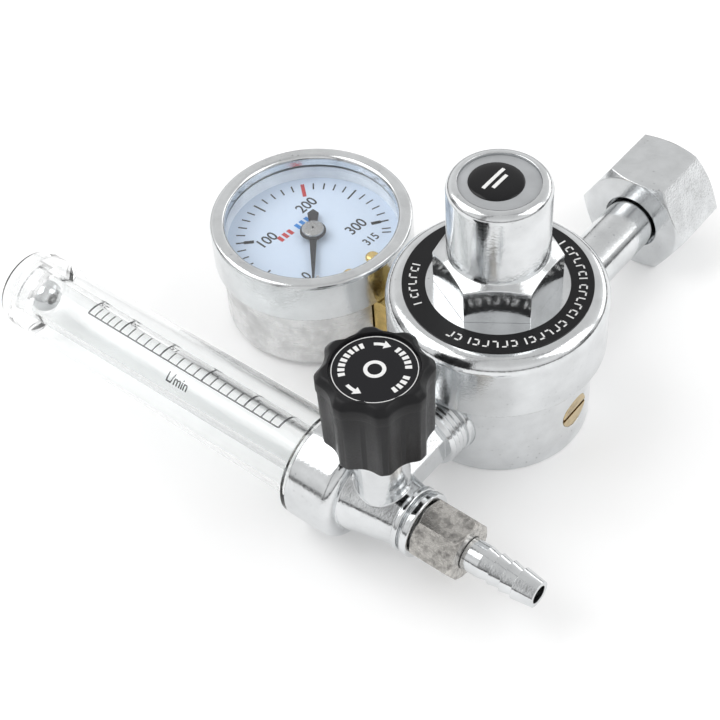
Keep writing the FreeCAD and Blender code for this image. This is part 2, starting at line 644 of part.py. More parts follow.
def build_movement():
    centre_distance = "sector_radius + pinion_radius"
    pivot = f"0 - ( {centre_distance} )"
    tools = [
        rod("PinionHole", "spindle_radius + fit_gap", "case_foot", "dial_foot"),
        rod("SectorHole", "spindle_radius + fit_gap", "case_foot", "dial_foot", x=pivot),
    ]
    sheets = [
        padded("Plate" + side, [
            ("0 - plate_back", "0 - plate_half", "spindle_radius"),
            ("socket_inside", "0 - plate_half"),
            ("socket_inside", "plate_half"),
            ("0 - plate_back", "plate_half", "spindle_radius"),
        ], height, "plate_brass")
        for side, height in (("Low", "plate_low"), ("High", "plate_high"))
    ]
    pillars = [
        rod("Pillar" + side, "pillar_radius", "plate_low", "plate_high", x="pillar_reach", y=y)
        for side, y in (("Left", "pillar_half"), ("Right", "0 - pillar_half"))
    ]
    node("movement_frame", at_gauge(cut("Movement", fused("MovementBlank", *sheets, *pillars), *tools)))
    fan = turned("SectorFan", [
        ("spindle_radius", "sector_foot"),
        ("sector_radius - tooth_gap", "sector_foot"),
        ("sector_radius - tooth_gap", "sector_foot + sector_sheet"),
        ("spindle_radius", "sector_foot + sector_sheet"),
    ], sweep="sector_sweep")
    axle = turned("SectorAxle", [
        ("0", "plate_low"),
        ("spindle_radius", "plate_low"),
        ("spindle_radius", "plate_low + plate_brass + tooth_gap"),
        ("pinion_radius", "plate_low + plate_brass + tooth_gap"),
        ("pinion_radius", "plate_high - tooth_gap"),
        ("spindle_radius", "plate_high - tooth_gap"),
        ("spindle_radius", "plate_high + plate_brass"),
        ("0", "plate_high + plate_brass"),
    ])
    node("sector_gear", place(fused("Sector", fan, axle), x=f"0 - gauge_offset - ( {centre_distance} )",
                              twist="0 - sector_lag"))
    skins = []
    hollow_sweep = "tube_sweep - tube_cap * 2"
    for name, skin, sweep in (("TubeOuter", "0", "tube_sweep"), ("TubeHollow", "tube_skin", hollow_sweep)):
        half_thick = f"tube_thick / 2 - {skin}" if skin != "0" else "tube_thick / 2"
        half_tall = f"tube_tall / 2 - {skin}" if skin != "0" else "tube_tall / 2"
        rounding = f"( {half_thick} ) * skin_round"
        skins.append(turned(name, [
            (f"tube_middle - ( {half_thick} )", f"port_height - ( {half_tall} )", rounding),
            (f"tube_middle + {half_thick}", f"port_height - ( {half_tall} )", rounding),
            (f"tube_middle + {half_thick}", f"port_height + {half_tall}", rounding),
            (f"tube_middle - ( {half_thick} )", f"port_height + {half_tall}", rounding),
        ], sweep=sweep))
    skins[1].Placement = Placement(Vector(), Rotation(Vector(0, 0, 1), number("tube_cap")))
    node("bourdon_tube", at_gauge(cut("Bourdon", *skins), twist="quarter_turn"))


def build_socket():
    half = "socket_width / 2"
    neck = box("SocketNeck", ("socket_head", "gauge_offset - socket_face"), (f"0 - {half}", half),
               (f"port_height - {half}", f"port_height + {half}"))
    head = box("SocketHead", ("socket_inside", "socket_head"), ("0 - head_width / 2", "head_width / 2"),
               ("head_foot", "head_top"))
    reach = "gauge_offset - port_bottom - fit_gap"
    stud = rod("SocketStud", "gauge_stud", "gauge_offset - socket_face", reach, z="port_height", along="+X")
    bore = rod("SocketBore", "gas_radius / 2", "socket_inside + gas_radius", "gauge_offset",
               z="port_height", along="+X")
    node("gauge_socket", at_gauge(cut("Socket", fused("SocketBlank", neck, head, stud), bore)))
    node("gauge_seal", place(turned("GaugeSeal", [
        ("gauge_port_radius", "seat_plane"),
        ("seal_radius", "seat_plane"),
        ("seal_radius", "socket_face"),
        ("gauge_port_radius", "socket_face"),
    ]), z="port_height", along="-X"))


# ---------------------------------------------------------------- outlet fitting and flowmeter
def arm_bar(name, low):
    """The square bar with broad chamfers between the body and the flowmeter block."""
    corners = [
        ("arm_half", "arm_flat"),
        ("arm_flat", "arm_half"),
        ("0 - arm_flat", "arm_half"),
        ("0 - arm_half", "arm_flat"),
        ("0 - arm_half", "0 - arm_flat"),
        ("0 - arm_flat", "0 - arm_half"),
        ("arm_flat", "0 - arm_half"),
        ("arm_half", "0 - arm_flat"),
    ]
    return padded(name, corners, low, f"arm_end - ( {low} )")


def build_outlet_fitting():
    corners = [
        ("arm_bore", "port_bottom"),
        ("port_radius - fit_gap", "port_bottom"),
        ("port_radius - fit_gap", "seat_plane"),
        ("collar_radius", "seat_plane"),
        ("collar_radius", "seat_plane + collar_ring", "edge_break"),
    ]
    for turn in range(COLLAR_THREADS):
        foot = f"seat_plane + collar_ring + thread_pitch * {turn}"
        corners.append(("thread_root", foot))
        corners.append(("thread_crest", foot + " + thread_pitch / 2"))
    corners.append(("thread_root", "collar_end"))
    corners.append(("arm_bore", "collar_end"))
    blank = fused("FittingBlank", turned("FittingCollar", corners), arm_bar("FittingArm", "collar_end"))
    bore = rod("FittingBore", "arm_bore", "port_bottom", "arm_end")
    node("outlet_fitting", place(cut("Fitting", blank, bore), z="port_height", along="-Y"))


def build_flow_block():
    tube_bore = "tube_radius + fit_gap"
    groove = "tube_radius + o_ring_wire * 2 + fit_gap * 2"
    turned_block = place(turned("BlockTurned", [
        (tube_bore, "0"),
        ("cup_radius", "0", "edge_break"),
        ("cup_radius", "cup_length", "cup_round"),
        ("barrel_radius", "cup_length"),
        ("barrel_small", "barrel_end"),
        ("ring_radius", "barrel_end", "edge_break"),
        ("ring_radius", "barrel_end + ring_length", "edge_break"),
        ("groove_radius", "barrel_end + ring_length"),
        ("groove_radius", "barrel_end + ring_length + groove_length"),
        ("ring_radius", "barrel_end + ring_length + groove_length", "edge_break"),
        ("ring_radius", "tail_foot", "edge_break"),
        ("tail_radius", "tail_foot"),
        ("tail_radius", "tail_end"),
        ("barb_bore", "tail_end"),
        ("barb_bore", "bore_start"),
        ("0", "bore_start"),
        ("0", "socket_floor"),
        ("socket_radius", "socket_floor"),
        ("socket_radius", "cup_depth"),
        (tube_bore, "cup_depth"),
        (tube_bore, "o_ring_groove + o_ring_wire + fit_gap"),
        (groove, "o_ring_groove + o_ring_wire + fit_gap"),
        (groove, "o_ring_groove - o_ring_wire - fit_gap"),
        (tube_bore, "o_ring_groove - o_ring_wire - fit_gap"),
    ]), x="0 - lip_offset", y="0 - flow_offset", z="port_height", along="+X")
    axis = {"y": "0 - flow_offset"}
    valve = {"x": "valve_shift", "y": "0 - flow_offset"}
    neck = rod("ValveNeck", "neck_radius", "port_height", "neck_top", **valve)
    arm = place(arm_bar("BlockPocket", "seat_plane"), z="port_height", along="-Y")
    tools = [
        arm,
        rod("ThreadBore", "spindle_thread + fit_gap", "thread_foot - gas_radius", "neck_top", **valve),
        rod("ShaftBore", "shaft_radius + fit_gap", "needle_foot - fit_gap", "thread_foot", **valve),
        rod("SeatBore", "gas_radius / 2", "port_height", "thread_foot", **valve),
        rod("ArmBore", "gas_radius", "0 - gas_radius", "flow_offset - arm_end", z="port_height",
            along="+Y", **axis),
        rod("FlowBore", "gas_radius", "socket_floor - lip_offset", "bore_start - lip_offset",
            z="port_height", along="+X", **axis),
        rod("TubeSocket", "socket_radius", "cup_depth - lip_offset", "socket_floor - lip_offset",
            z="port_height", along="+X", **axis),
        rod("TailBore", "barb_bore", "bore_start - lip_offset", "valve_shift + neck_radius + fit_gap",
            z="port_height", along="+X", **axis),
    ]
    node("flow_block", cut("FlowBlock", fused("BlockBlank", turned_block, neck), *tools))


def at_flow(thing, **where):
    """Lay a piece on the flow tube's axis, pointing away from the block."""
    return place(thing, y="0 - flow_offset", z="port_height", along="-X", **where)


def build_flow_tube():
    inside = "tube_radius - tube_wall"
    collar_foot = "lip_offset - tube_start"
    node("outer_tube", at_flow(turned("OuterTube", [
        (inside, "0"),
        ("tube_radius", "0"),
        ("tube_radius", collar_foot),
        ("tube_collar", collar_foot),
        ("tube_collar", collar_foot + " + collar_sheet", "edge_break"),
        ("tube_radius", collar_foot + " + collar_sheet"),
        ("tube_tip", "tube_length", "tube_round"),
        ("0", "tube_length"),
        ("0", "tube_length - end_wall"),
        (inside, "tube_length - end_wall"),
    ]), start="tube_start"))
    node("inner_tube", at_flow(turned("InnerTube", [
        ("seat_radius", "0"),
        ("inner_radius", "0"),
        ("inner_radius", "inner_length"),
        ("inner_large", "inner_length"),
        ("inner_small", "seat_offset + seat_length - inner_start"),
        ("seat_radius", "seat_offset + seat_length - inner_start"),
    ]), start="inner_start"))
    plug_end = "tube_start + tube_length - end_wall"
    node("tube_plug", at_flow(turned("TubePlug", [
        ("inner_radius + fit_gap", "0"),
        ("plug_radius", "0", "edge_break"),
        ("plug_radius", "plug_length"),
        ("inner_radius + fit_gap", "plug_length"),
    ]), start=plug_end + " - plug_length"))
    node("float_seat", at_flow(turned("FloatSeat", [
        ("gas_radius", "0"),
        ("seat_radius - fit_gap", "0"),
        ("seat_radius - fit_gap", "seat_length"),
        ("gas_radius", "seat_length"),
    ]), start="seat_offset"))
    ball = doc.addObject("Part::Sphere", "Ball")
    bind(ball, "Radius", "ball_radius")
    node("float_ball", at_flow(ball, start="ball_offset"))
    ring = doc.addObject("Part::Torus", "TubeSeal")
    bind(ring, "Radius1", "tube_radius + o_ring_wire + fit_gap")
    bind(ring, "Radius2", "o_ring_wire")
    node("tube_seal", at_flow(ring, start="lip_offset - o_ring_groove"))


def build_needle_valve():
    where = {"x": "valve_shift", "y": "0 - flow_offset"}
    node("valve_spindle", place(turned("Spindle", [
        ("0", "needle_foot"),
        ("shaft_radius", "needle_top"),
        ("shaft_radius", "thread_foot"),
        ("spindle_thread", "thread_foot"),
        ("spindle_thread", "thread_top"),
        ("shaft_radius", "thread_top"),
        ("shaft_radius", "shaft_top"),
        ("knob_screw_shank + fit_gap", "shaft_top"),
        ("knob_screw_shank + fit_gap", "knob_screw_foot - fit_gap"),
        ("0", "knob_screw_foot - fit_gap"),
    ]), **where))
    corner = "gland_flats * corner_factor / 2"
    hexagon = hexed("GlandHexagon", "gland_flats", "neck_top", "gland_top", [
        ("shaft_radius + fit_gap", "neck_top"),
        (corner, "neck_top"),
        (corner, "gland_top - edge_break"),
        ("gland_flats / 2", "gland_top"),
        ("shaft_radius + fit_gap", "gland_top"),
    ])
    spigot = turned("GlandSpigot", [
        ("shaft_radius + fit_gap", "gland_foot"),
        ("spindle_thread", "gland_foot"),
        ("spindle_thread", "neck_top"),
        ("shaft_radius + fit_gap", "neck_top"),
    ])
    node("gland_nut", place(fused("GlandNut", hexagon, spigot), **where))


def build_knob():
    where = {"x": "valve_shift", "y": "0 - flow_offset"}
    blank = turned("KnobBlank", [
        ("knob_hollow", "knob_foot"),
        ("knob_radius", "knob_foot", "edge_break"),
        ("knob_radius", "knob_top - knob_bevel"),
        ("knob_radius - knob_bevel", "knob_top", "edge_break"),
        ("label_radius + fit_gap", "knob_top"),
        ("label_radius + fit_gap", "label_foot"),
        ("well_radius", "label_foot"),
        ("well_radius", "shaft_top"),
        ("shaft_radius + fit_gap", "shaft_top"),
        ("shaft_radius + fit_gap", "knob_web"),
        ("knob_hollow", "knob_web"),
    ])
    flutes = []
    for lobe in range(LOBES):
        angle = 2 * math.pi * (lobe + 0.5) / LOBES
        flutes.append(rod(f"Flute{lobe}", "flute_radius", "knob_foot - edge_break", "knob_top + edge_break",
                          x=f"flute_ring * {math.cos(angle):.6f}", y=f"flute_ring * {math.sin(angle):.6f}"))
    node("flow_knob", place(cut("Knob", blank, *flutes), **where))
    node("knob_label", place(turned("KnobLabel", [
        ("0", "0"),
        ("label_radius", "0"),
        ("label_radius", "label_disc"),
        ("0", "label_disc"),
    ]), z="label_foot", **where))
    node("knob_screw", place(turned("KnobScrew", [
        ("0", "knob_screw_foot"),
        ("knob_screw_shank", "knob_screw_foot"),
        ("knob_screw_shank", "shaft_top"),
        ("knob_screw_head", "shaft_top"),
        ("knob_screw_head", "shaft_top + knob_screw_height", "edge_break"),
        ("0", "shaft_top + knob_screw_height"),
    ]), **where))


# ---------------------------------------------------------------- hose outlet
def build_hose_outlet():
    where = {"y": "0 - flow_offset", "z": "port_height", "along": "+X"}
    corner = "outlet_flats * corner_factor / 2"
    node("outlet_nut", place(hexed("OutletNut", "outlet_flats", "0", "outlet_length", [
        ("tail_radius + fit_gap", "0"),
        ("outlet_flats / 2", "0"),
        (corner, "outlet_bevel"),
        (corner, "outlet_length - outlet_bevel"),
        ("outlet_flats / 2", "outlet_length"),
        ("barb_radius + fit_gap * 2", "outlet_length"),
        ("barb_radius + fit_gap * 2", "outlet_length - outlet_wall"),
        ("tail_radius + fit_gap", "outlet_length - outlet_wall"),
    ], twist="quarter_turn"), x="outlet_start", **where))
    node("outlet_seal", place(turned("OutletSeal", [
        ("barb_bore", "0"),
        ("barb_flange", "0"),
        ("barb_flange", "gasket_sheet"),
        ("barb_bore", "gasket_sheet"),
    ]), x="barb_start - gasket_sheet", **where))
    corners = [
        ("barb_bore", "barb_start"),
        ("barb_flange", "barb_start"),
        ("barb_flange", "barb_start + flange_depth"),
        ("barb_neck", "barb_start + flange_depth"),
        ("barb_neck", "shank_start"),
        ("barb_radius", "shank_start"),
        ("barb_radius", "shank_end"),
    ]
    for barb in range(BARBS - 1):
        ridge = f"shank_end + barb_pitch * {barb + 1}"
        corners.append(("barb_root", ridge))
        corners.append(("barb_radius", ridge))
    tip = f"shank_end + barb_pitch * {BARBS - 1} + barb_nose"
    corners.append(("barb_root", tip))
    corners.append(("barb_bore", tip))
    node("hose_barb", place(turned("HoseBarb", corners), **where))


for build in (
    build_body, build_bonnet, build_cover, build_pressure_works, build_main_valve, build_relief_valve,
    build_inlet, build_gauge_case, build_dial, build_pointer, build_movement, build_socket,
    build_outlet_fitting, build_flow_block, build_flow_tube, build_needle_valve, build_knob,
    build_hose_outlet,
):
    build()
doc.recompute()

# ---------------------------------------------------------------- checks and export
faults = [thing.Label for thing in doc.Objects if {"Invalid", "Error"} & set(thing.State)]
for thing in NODES:
    shape = thing.Shape
    if shape.isNull() or not shape.isValid() or not shape.Solids:
        faults.append(thing.Label + " has no sound solid")
if faults:
    raise RuntimeError("Unsound objects: " + ", ".join(faults))

os.makedirs("parts", exist_ok=True)
for thing in NODES:
    thing.Shape.exportStep(f"parts/{thing.Label}.step")
    print(f"{thing.Label}: {len(thing.Shape.Solids)} solid(s), {thing.Shape.Volume:.0f} mm3")
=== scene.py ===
"""Looks of a gas regulator with a pressure gauge and a flowmeter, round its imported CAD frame.

Everything is in metres in the CAD's own frame: the body stands on the floor at the origin, +Z is up,
+Y points to the cylinder nut, -X to the gauge and the flow tube, and +X to the hose barb.
"""
import math

import bmesh
import bpy
from mathutils import Matrix, Vector


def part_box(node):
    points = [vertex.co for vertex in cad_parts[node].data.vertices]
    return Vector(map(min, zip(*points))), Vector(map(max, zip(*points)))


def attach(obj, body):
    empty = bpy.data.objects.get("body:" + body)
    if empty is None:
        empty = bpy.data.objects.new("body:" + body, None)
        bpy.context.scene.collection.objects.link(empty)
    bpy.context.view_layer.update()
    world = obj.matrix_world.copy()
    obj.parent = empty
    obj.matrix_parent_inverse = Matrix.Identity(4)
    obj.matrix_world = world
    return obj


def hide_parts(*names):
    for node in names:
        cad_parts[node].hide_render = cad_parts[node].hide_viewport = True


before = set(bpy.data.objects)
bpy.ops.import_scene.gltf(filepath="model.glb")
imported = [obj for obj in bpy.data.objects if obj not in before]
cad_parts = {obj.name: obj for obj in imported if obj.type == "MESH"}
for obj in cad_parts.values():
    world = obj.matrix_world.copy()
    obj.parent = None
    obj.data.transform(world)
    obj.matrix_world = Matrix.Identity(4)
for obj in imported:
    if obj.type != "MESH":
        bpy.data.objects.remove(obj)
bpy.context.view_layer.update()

MM = 0.001
SCENE = bpy.context.scene

X_AXIS = Vector((1, 0, 0))
Y_AXIS = Vector((0, 1, 0))
Z_AXIS = Vector((0, 0, 1))


def middle(node):
    """The middle of a CAD node's box."""
    low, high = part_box(node)
    return (low + high) / 2


def reach(node, axis):
    """Half the width of a CAD node across one axis, 0 for X to 2 for Z."""
    low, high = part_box(node)
    return (high[axis] - low[axis]) / 2


# ---------------------------------------------------------------- finishes
class Finish:
    """A node material round one Principled shader, with short ways to wire textures into it."""

    def __init__(self, name, color, metallic=0.0, roughness=0.5):
        self.material = bpy.data.materials.new(name)
        self.material.use_nodes = True
        tree = self.material.node_tree
        self.nodes = tree.nodes
        self.links = tree.links
        self.shader = self.nodes["Principled BSDF"]
        self.output = self.nodes["Material Output"]
        self.set("Base Color", (*color, 1.0))
        self.set("Metallic", metallic)
        self.set("Roughness", roughness)
        self.place = self.add("ShaderNodeTexCoord").outputs["Object"]

    def set(self, socket, value):
        """Give a shader input a fixed value, or wire a socket into it."""
        if isinstance(value, bpy.types.NodeSocket):
            self.links.new(value, self.shader.inputs[socket])
        else:
            self.shader.inputs[socket].default_value = value

    def add(self, kind, inputs=(), **settings):
        """A new node with its settings, and its inputs given as values or sockets."""
        node = self.nodes.new(kind)
        for key, value in settings.items():
            setattr(node, key, value)
        for key, value in dict(inputs).items():
            if isinstance(value, bpy.types.NodeSocket):
                self.links.new(value, node.inputs[key])
            else:
                node.inputs[key].default_value = value
        return node

    def noise(self, per_metre, detail=3.0, place=None, stretch=None, roughness=0.55):
        """Noise between 0 and 1 with that many features to the metre."""
        place = place or self.place
        if stretch:
            wires = {0: place, 1: stretch}
            place = self.add("ShaderNodeVectorMath", wires, operation="MULTIPLY").outputs[0]
        wires = {"Vector": place, "Scale": per_metre, "Detail": detail, "Roughness": roughness}
        return self.add("ShaderNodeTexNoise", wires).outputs["Fac"]

    def spots(self, per_metre, place=None):
        """Distance to the nearest of many scattered points."""
        wires = {"Vector": place or self.place, "Scale": per_metre}
        return self.add("ShaderNodeTexVoronoi", wires).outputs["Distance"]

    def span(self, value, low, high, to_low=0.0, to_high=1.0):
        """Stretch a value from one range to another, and keep it inside."""
        wires = {"Value": value, "From Min": low, "From Max": high, "To Min": to_low, "To Max": to_high}
        return self.add("ShaderNodeMapRange", wires).outputs["Result"]

    def sum(self, first, second, operation="ADD"):
        """Arithmetic on two values."""
        return self.add("ShaderNodeMath", {0: first, 1: second}, operation=operation).outputs[0]

    def blend(self, share, first, second):
        """A colour between two colours."""
        node = self.add("ShaderNodeMix", {0: share}, data_type="RGBA")
        for slot, color in ((6, first), (7, second)):
            if isinstance(color, bpy.types.NodeSocket):
                self.links.new(color, node.inputs[slot])
            else:
                node.inputs[slot].default_value = (*color, 1.0)
        return node.outputs[2]

    def spun(self, axis, centre):
        """Coordinates (radius, height) about an axis, constant along the rings a lathe leaves."""
        away = self.add("ShaderNodeVectorMath", {0: self.place, 1: centre}, operation="SUBTRACT").outputs[0]
        mask = Vector((1, 1, 1)) - axis
        flat = self.add("ShaderNodeVectorMath", {0: away, 1: mask}, operation="MULTIPLY").outputs[0]
        radius = self.add("ShaderNodeVectorMath", {0: flat}, operation="LENGTH").outputs["Value"]
        along = self.add("ShaderNodeVectorMath", {0: away, 1: axis}, operation="DOT_PRODUCT")
        wires = {"X": radius, "Y": along.outputs["Value"]}
        return self.add("ShaderNodeCombineXYZ", wires).outputs[0]

    def relief(self, *layers, edge=0.0):
        """Bump from (height, depth in metres) layers, over edges rounded by that radius."""
        normal = None
        if edge:
            normal = self.add("ShaderNodeBevel", {"Radius": edge}, samples=8).outputs["Normal"]
        for height, depth in layers:
            wires = {"Height": height, "Distance": depth, "Strength": 1.0}
            if normal:
                wires["Normal"] = normal
            normal = self.add("ShaderNodeBump", wires).outputs["Normal"]
        self.set("Normal", normal)


def plated(name, axis, centre, edge=0.0, gloss=0.07, tint=(0.76, 0.775, 0.785)):
    """Bright zinc plating on turned metal: lathe rings, cloudy gloss, small dark pits and stains."""
    finish = Finish(name, tint, metallic=1.0)
    clouds = finish.noise(120, detail=4)
    grain = finish.noise(1500, detail=4)
    rings = finish.noise(2200, detail=2, place=finish.spun(axis, centre))
    darker = tuple(0.84 * part for part in tint)
    stain = tuple(0.45 * part for part in tint)
    clean = finish.blend(finish.span(clouds, 0.35, 0.75), tint, darker)
    pits = finish.span(finish.spots(520), 0.06, 0.2, 0.8, 0.0)
    patches = finish.span(finish.noise(60, detail=5, roughness=0.7), 0.5, 0.68)
    finish.set("Base Color", finish.blend(finish.sum(pits, patches, "MULTIPLY"), clean, stain))
    cloudy = finish.span(clouds, 0.3, 0.8, gloss, gloss + 0.09)
    gritty = finish.span(grain, 0.45, 0.85, 0.0, 0.12)
    finish.set("Roughness", finish.sum(cloudy, gritty))
    dents = finish.noise(420, detail=4, roughness=0.6)
    finish.relief((dents, 0.03 * MM), (grain, 0.022 * MM), (rings, 0.006 * MM), edge=edge)
    return finish


def satin(name, axis, centre, tint=(0.74, 0.74, 0.74)):
    """Sheet metal with a soft brushed sheen round an axis and dull blotches."""
    finish = Finish(name, tint, metallic=1.0)
    blotches = finish.noise(160, detail=5)
    rings = finish.noise(3200, detail=3, place=finish.spun(axis, centre))
    darker = tuple(0.76 * part for part in tint)
    finish.set("Base Color", finish.blend(finish.span(blotches, 0.4, 0.66), tint, darker))
    finish.set("Roughness", finish.sum(finish.span(blotches, 0.3, 0.7, 0.18, 0.3),
                                       finish.span(rings, 0.3, 0.7, 0.0, 0.1)))
    finish.relief((rings, 0.006 * MM), (finish.noise(700), 0.01 * MM))
    return finish


def scuffed(name, edge):
    """Dull nickel that tools have rubbed: cloudy stains, short scratches and worn corners."""
    tint = (0.60, 0.58, 0.55)
    finish = Finish(name, tint, metallic=1.0)
    stains = finish.noise(520, detail=6, roughness=0.7)
    scratches = finish.noise(900, detail=4, stretch=(1, 6, 1))
    finish.set("Base Color", finish.blend(finish.span(stains, 0.44, 0.66), tint, (0.24, 0.23, 0.22)))
    finish.set("Roughness", finish.sum(finish.span(stains, 0.3, 0.7, 0.16, 0.36),
                                       finish.span(scratches, 0.5, 0.8, 0.0, 0.15)))
    finish.relief((scratches, 0.02 * MM), (stains, 0.02 * MM), edge=edge)
    return finish


def brass(name, tint=(0.83, 0.60, 0.22), edge=0.0):
    """Machined brass, a little tarnished in patches."""
    finish = Finish(name, tint, metallic=1.0)
    tarnish = finish.noise(220, detail=5)
    cuts = finish.noise(2600, detail=2)
    darker = tuple(0.55 * part for part in tint)
    finish.set("Base Color", finish.blend(finish.span(tarnish, 0.48, 0.8), tint, darker))
    finish.set("Roughness", finish.span(tarnish, 0.3, 0.75, 0.12, 0.34))
    finish.relief((cuts, 0.008 * MM), edge=edge)
    return finish


def steel(name, tint=(0.62, 0.62, 0.63), gloss=0.18):
    """Plain machined or drawn steel."""
    finish = Finish(name, tint, metallic=1.0)
    marks = finish.noise(1800, detail=3)
    finish.set("Roughness", finish.span(marks, 0.3, 0.8, gloss, gloss + 0.18))
    finish.set("Base Color", finish.blend(finish.noise(300), tint, tuple(0.7 * part for part in tint)))
    finish.relief((marks, 0.008 * MM))
    return finish


def moulded(name, tint, roughness, grain, depth, edge=0.0):
    """Moulded plastic or rubber with a fine grain of that many bumps to the metre."""
    finish = Finish(name, tint)
    bumps = finish.noise(grain, detail=2)
    clouds = finish.noise(90, detail=3)
    lighter = tuple(min(1.0, 1.3 * part + 0.001) for part in tint)
    finish.set("Base Color", finish.blend(finish.span(clouds, 0.35, 0.8), tint, lighter))
    finish.set("Roughness", finish.sum(finish.span(bumps, 0.3, 0.7, roughness - 0.08, roughness + 0.08),
                                       finish.span(clouds, 0.3, 0.8, 0.0, 0.06)))
    finish.set("Specular IOR Level", 0.25)
    finish.relief((bumps, depth), edge=edge)
    return finish


def glossy(name, tint):
    """Clear-coated dark print or resin, with the faint orange peel such a coat has."""
    finish = Finish(name, tint)
    peel = finish.noise(420, detail=2)
    dust = finish.spots(900)
    finish.set("Base Color", finish.blend(finish.span(dust, 0.0, 0.12, 0.2, 0.0), tint, (0.06, 0.06, 0.065)))
    finish.set("Roughness", finish.span(peel, 0.3, 0.7, 0.10, 0.18))
    finish.set("Specular IOR Level", 0.2)
    finish.set("Coat Weight", 0.15)
    finish.set("Coat Roughness", 0.08)
    finish.relief((peel, 0.006 * MM))
    return finish


def enamel(name, tint, shade):
    """Flat printed enamel with a very fine speckle."""
    finish = Finish(name, tint)
    speckle = finish.noise(2400, detail=3)
    finish.set("Base Color", finish.blend(finish.span(speckle, 0.4, 0.75), tint, shade))
    finish.set("Roughness", finish.span(speckle, 0.3, 0.7, 0.42, 0.56))
    finish.set("Specular IOR Level", 0.3)
    finish.relief((speckle, 0.003 * MM))
    return finish


def clear(name, tint=(0.99, 0.995, 0.995), index=1.49, waves=0.004):
    """Clear acrylic or glass with faint moulding waves, that lets lamps light what is behind it."""
    finish = Finish(name, tint)
    ripples = finish.noise(130, detail=2)
    haze = finish.noise(800, detail=4)
    finish.set("Transmission Weight", 1.0)
    finish.set("IOR", index)
    finish.set("Roughness", finish.span(haze, 0.5, 0.85, 0.0, 0.07))
    finish.relief((ripples, waves * MM))
    path = finish.add("ShaderNodeLightPath")
    passing = finish.add("ShaderNodeBsdfTransparent", {"Color": (*tint, 1.0)})
    mixed = finish.add("ShaderNodeMixShader", {0: path.outputs["Is Shadow Ray"], 2: passing.outputs[0]})
    finish.links.new(finish.shader.outputs[0], mixed.inputs[1])
    finish.links.new(mixed.outputs[0], finish.output.inputs["Surface"])
    return finish


BODY_CENTRE = middle("regulator_body")
GAUGE_CENTRE = middle("gauge_case")
FLOW_CENTRE = middle("outer_tube")
STEM_CENTRE = middle("inlet_stem")

FINISHES = {
    "plated_body": plated("plated_body", Z_AXIS, BODY_CENTRE, edge=0.3 * MM),
    "plated_cover": plated("plated_cover", Z_AXIS, BODY_CENTRE, edge=0.5 * MM, gloss=0.05),
    "plated_stem": plated("plated_stem", Y_AXIS, STEM_CENTRE, edge=0.3 * MM, gloss=0.09),
    "plated_nut": plated("plated_nut", Y_AXIS, STEM_CENTRE, edge=0.6 * MM, gloss=0.10),
    "plated_block": plated("plated_block", X_AXIS, FLOW_CENTRE, edge=0.6 * MM, gloss=0.06),
    "plated_arm": plated("plated_arm", Y_AXIS, STEM_CENTRE, edge=0.3 * MM, gloss=0.08),
    "plated_barb": plated("plated_barb", X_AXIS, FLOW_CENTRE, edge=0.15 * MM, gloss=0.05),
    "bezel": plated("bezel", Z_AXIS, GAUGE_CENTRE, gloss=0.09),
    "case": satin("case", Z_AXIS, GAUGE_CENTRE),
    "nickel": scuffed("nickel", edge=0.4 * MM),
    "brass": brass("brass", edge=0.25 * MM),
    "pale_brass": brass("pale_brass", tint=(0.60, 0.47, 0.27), edge=0.2 * MM),
    "bronze": brass("bronze", tint=(0.62, 0.42, 0.22)),
    "steel": steel("steel"),
    "spring": steel("spring", tint=(0.5, 0.5, 0.52), gloss=0.25),
    "ball": steel("ball", tint=(0.72, 0.73, 0.74), gloss=0.04),
    "hub": steel("hub", tint=(0.50, 0.50, 0.50), gloss=0.15),
    "label": moulded("label", (0.008, 0.008, 0.009), 0.4, 5200, 0.004 * MM),
    "grey_disc": moulded("grey_disc", (0.36, 0.37, 0.38), 0.34, 2600, 0.006 * MM),
    "badge": glossy("badge", (0.008, 0.008, 0.009)),
    "knob": moulded("knob", (0.008, 0.008, 0.009), 0.34, 3000, 0.05 * MM),
    "knob_print": glossy("knob_print", (0.009, 0.009, 0.011)),
    "rubber": moulded("rubber", (0.022, 0.022, 0.022), 0.6, 1500, 0.01 * MM),
    "nylon": moulded("nylon", (0.70, 0.69, 0.64), 0.42, 900, 0.008 * MM),
    "pale": moulded("pale", (0.70, 0.74, 0.80), 0.35, 1200, 0.004 * MM),
    "dial": enamel("dial", (0.60, 0.69, 0.82), (0.56, 0.66, 0.80)),
    "black_ink": enamel("black_ink", (0.012, 0.013, 0.016), (0.03, 0.03, 0.035)),
    "red_ink": enamel("red_ink", (0.50, 0.035, 0.04), (0.42, 0.03, 0.035)),
    "blue_ink": enamel("blue_ink", (0.02, 0.22, 0.62), (0.02, 0.18, 0.54)),
    "white_ink": enamel("white_ink", (0.86, 0.86, 0.85), (0.78, 0.78, 0.78)),
    "glass": clear("glass", index=1.5, waves=0.0005),
    "acrylic": clear("acrylic", index=1.38),
}

